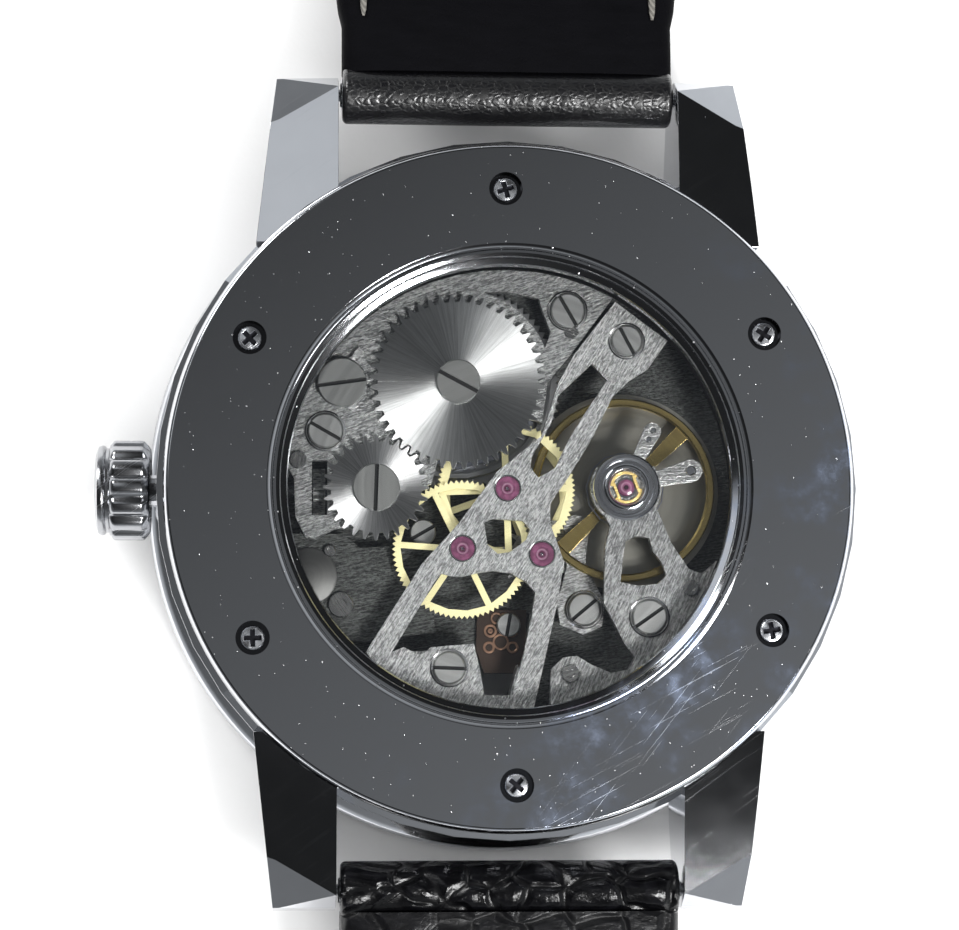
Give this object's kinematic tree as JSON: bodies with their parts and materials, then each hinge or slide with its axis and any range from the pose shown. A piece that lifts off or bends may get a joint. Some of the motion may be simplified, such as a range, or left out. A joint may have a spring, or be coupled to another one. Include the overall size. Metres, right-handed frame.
{
  "type": "skeleton wristwatch",
  "caption": "Hand-wound skeleton wristwatch with an exhibition back, a fluted crown, a padded leather strap and a pin buckle.",
  "frame": {"origin": "centre of the outer face of the front crystal, on the case axis, so the watch rests dial down at z = 0", "axes": "+Z out of the case back towards the wrist, +Y towards 12 o'clock along the strap, crown on the -X side"},
  "size_m": [0.0454, 0.2404, 0.0112],
  "materials": {
    "polished_steel": "mirror polished",
    "brushed_steel": "fine straight grain",
    "brass": "gilt",
    "glass": "clear",
    "ruby": "polished synthetic ruby",
    "black_plastic": "matt",
    "dial": "satin",
    "leather": "glossy embossed",
    "rubber": "matt",
    "spring_steel": "bright drawn"
  },
  "bodies": {
    "case": {"mid_case": "polished_steel", "case_tube": "polished_steel", "bezel": "polished_steel", "crystal": "glass", "crystal_gasket": "rubber", "case_back": "polished_steel", "back_glass": "glass", "back_gasket": "rubber", "back_screw_1": "polished_steel", "back_screw_2": "polished_steel", "back_screw_3": "polished_steel", "back_screw_4": "polished_steel", "back_screw_5": "polished_steel", "back_screw_6": "polished_steel", "movement_ring": "black_plastic", "dial_ring": "dial", "main_plate": "brushed_steel", "barrel_bridge": "brushed_steel", "train_bridge": "brushed_steel", "jewel_centre": "ruby", "jewel_third": "ruby", "jewel_escape": "ruby", "balance_cock": "brushed_steel", "balance_shock_jewel": "ruby", "pallet_bridge": "brushed_steel", "crown_wheel_screw": "polished_steel", "click_screw": "polished_steel", "spring_bar_12": "polished_steel", "spring_bar_6": "polished_steel", "hairspring": "spring_steel"},
    "crown_slide": {"crown_gasket": "rubber"},
    "crown": {"crown": "polished_steel", "winding_stem": "polished_steel"},
    "winding_works": {"winding_pinion": "brushed_steel", "clutch_wheel": "brushed_steel"},
    "crown_wheel": {"crown_wheel": "brushed_steel"},
    "ratchet": {"ratchet_wheel": "brushed_steel", "ratchet_screw": "polished_steel", "barrel_arbor": "brushed_steel"},
    "click": {"click": "brushed_steel"},
    "seconds": {"fourth_wheel": "brass", "seconds_hand": "polished_steel"},
    "minutes": {"centre_wheel": "brass", "minute_hand": "polished_steel"},
    "hours": {"hour_hand": "polished_steel"},
    "minute_wheel": {"minute_wheel": "brass"},
    "third": {"third_wheel": "brass"},
    "escape": {"escape_wheel": "brushed_steel"},
    "barrel": {"barrel": "brushed_steel", "mainspring": "spring_steel"},
    "pallet_fork": {"pallet_fork": "brushed_steel"},
    "balance": {"balance_wheel": "brass"},
    "regulator": {"regulator": "brushed_steel"},
    "strap_12": {"strap_12": "leather", "fixed_keeper": "leather"},
    "strap_6": {"strap_6": "leather"},
    "free_keeper": {"free_keeper": "leather"},
    "buckle": {"buckle_frame": "polished_steel", "buckle_bar": "polished_steel"},
    "buckle_tongue": {"buckle_tongue": "polished_steel"}
  },
  "joints": [
    {"name": "crown_pull", "type": "slide", "parent": "case", "child": "crown_slide", "axis": [-1, 0, 0], "range_m": [0, 0.0009]},
    {"name": "crown_turn", "type": "hinge", "parent": "crown_slide", "child": "crown", "pos_m": [-0.022, 0, 0.0059], "axis": [1, 0, 0], "continuous": true},
    {"name": "winding_pinion_turn", "type": "hinge", "parent": "case", "child": "winding_works", "pos_m": [-0.011, 0, 0.0059], "axis": [1, 0, 0], "continuous": true},
    {"name": "crown_wheel_turn", "type": "hinge", "parent": "case", "child": "crown_wheel", "pos_m": [-0.00772, 0, 0.0085], "axis": [0, 0, 1], "continuous": true},
    {"name": "ratchet_turn", "type": "hinge", "parent": "case", "child": "ratchet", "pos_m": [-0.00292, 0.00625, 0.0085], "axis": [0, 0, 1], "continuous": true},
    {"name": "click_lift", "type": "hinge", "parent": "case", "child": "click", "pos_m": [-0.00973, 0.00616, 0.0084], "axis": [0, 0, 1], "range_deg": [0, 8], "stiffness_Nm_per_rad": 0.0001},
    {"name": "seconds_turn", "type": "hinge", "parent": "case", "child": "seconds", "pos_m": [0, 0, 0.007], "axis": [0, 0, 1], "continuous": true},
    {"name": "minutes_turn", "type": "hinge", "parent": "case", "child": "minutes", "pos_m": [0, 0, 0.007], "axis": [0, 0, 1], "continuous": true},
    {"name": "hours_turn", "type": "hinge", "parent": "case", "child": "hours", "pos_m": [0, 0, 0.003], "axis": [0, 0, 1], "continuous": true},
    {"name": "minute_wheel_turn", "type": "hinge", "parent": "case", "child": "minute_wheel", "pos_m": [-0.00293, -0.00107, 0.004], "axis": [0, 0, 1], "continuous": true},
    {"name": "third_wheel_turn", "type": "hinge", "parent": "case", "child": "third", "pos_m": [-0.00265, -0.00354, 0.007], "axis": [0, 0, 1], "continuous": true},
    {"name": "escape_wheel_turn", "type": "hinge", "parent": "case", "child": "escape", "pos_m": [0.00201, -0.00386, 0.007], "axis": [0, 0, 1], "continuous": true},
    {"name": "barrel_turn", "type": "hinge", "parent": "case", "child": "barrel", "pos_m": [-0.00292, 0.00625, 0.007], "axis": [0, 0, 1], "continuous": true},
    {"name": "pallet_swing", "type": "hinge", "parent": "case", "child": "pallet_fork", "pos_m": [0.0042, -0.00215, 0.007], "axis": [0, 0, 1], "range_deg": [-6, 6]},
    {"name": "balance_swing", "type": "hinge", "parent": "case", "child": "balance", "pos_m": [0.00695, 0.00005, 0.007], "axis": [0, 0, 1], "range_deg": [-270, 270], "stiffness_Nm_per_rad": 0.0000004},
    {"name": "regulator_turn", "type": "hinge", "parent": "case", "child": "regulator", "pos_m": [0.00695, 0.00005, 0.0089], "axis": [0, 0, 1], "range_deg": [-10, 10]},
    {"name": "strap_12_fold", "type": "hinge", "parent": "case", "child": "strap_12", "pos_m": [0, 0.0233, 0.0085], "axis": [1, 0, 0], "range_deg": [-20, 85]},
    {"name": "strap_6_fold", "type": "hinge", "parent": "case", "child": "strap_6", "pos_m": [0, -0.0233, 0.0085], "axis": [-1, 0, 0], "range_deg": [-20, 85]},
    {"name": "free_keeper_slide", "type": "slide", "parent": "strap_12", "child": "free_keeper", "axis": [0, 1, 0], "range_m": [-0.014, 0.009]},
    {"name": "buckle_fold", "type": "hinge", "parent": "strap_12", "child": "buckle", "pos_m": [0, 0.092, 0.00195], "axis": [1, 0, 0], "range_deg": [-8, 60]},
    {"name": "tongue_lift", "type": "hinge", "parent": "buckle", "child": "buckle_tongue", "pos_m": [0, 0.092, 0.00195], "axis": [1, 0, 0], "range_deg": [0, 70]}
  ],
  "couplings": [
    {"joint": "winding_pinion_turn", "follows": "crown_turn", "ratio": 1},
    {"joint": "crown_wheel_turn", "follows": "crown_turn", "ratio": 0.5},
    {"joint": "ratchet_turn", "follows": "crown_turn", "ratio": -0.29167},
    {"joint": "minutes_turn", "follows": "seconds_turn", "ratio": 0.016667},
    {"joint": "hours_turn", "follows": "seconds_turn", "ratio": 0.0013889},
    {"joint": "minute_wheel_turn", "follows": "seconds_turn", "ratio": -0.0055556},
    {"joint": "third_wheel_turn", "follows": "seconds_turn", "ratio": -0.1},
    {"joint": "escape_wheel_turn", "follows": "seconds_turn", "ratio": -12},
    {"joint": "barrel_turn", "follows": "seconds_turn", "ratio": -0.0020833}
  ]
}
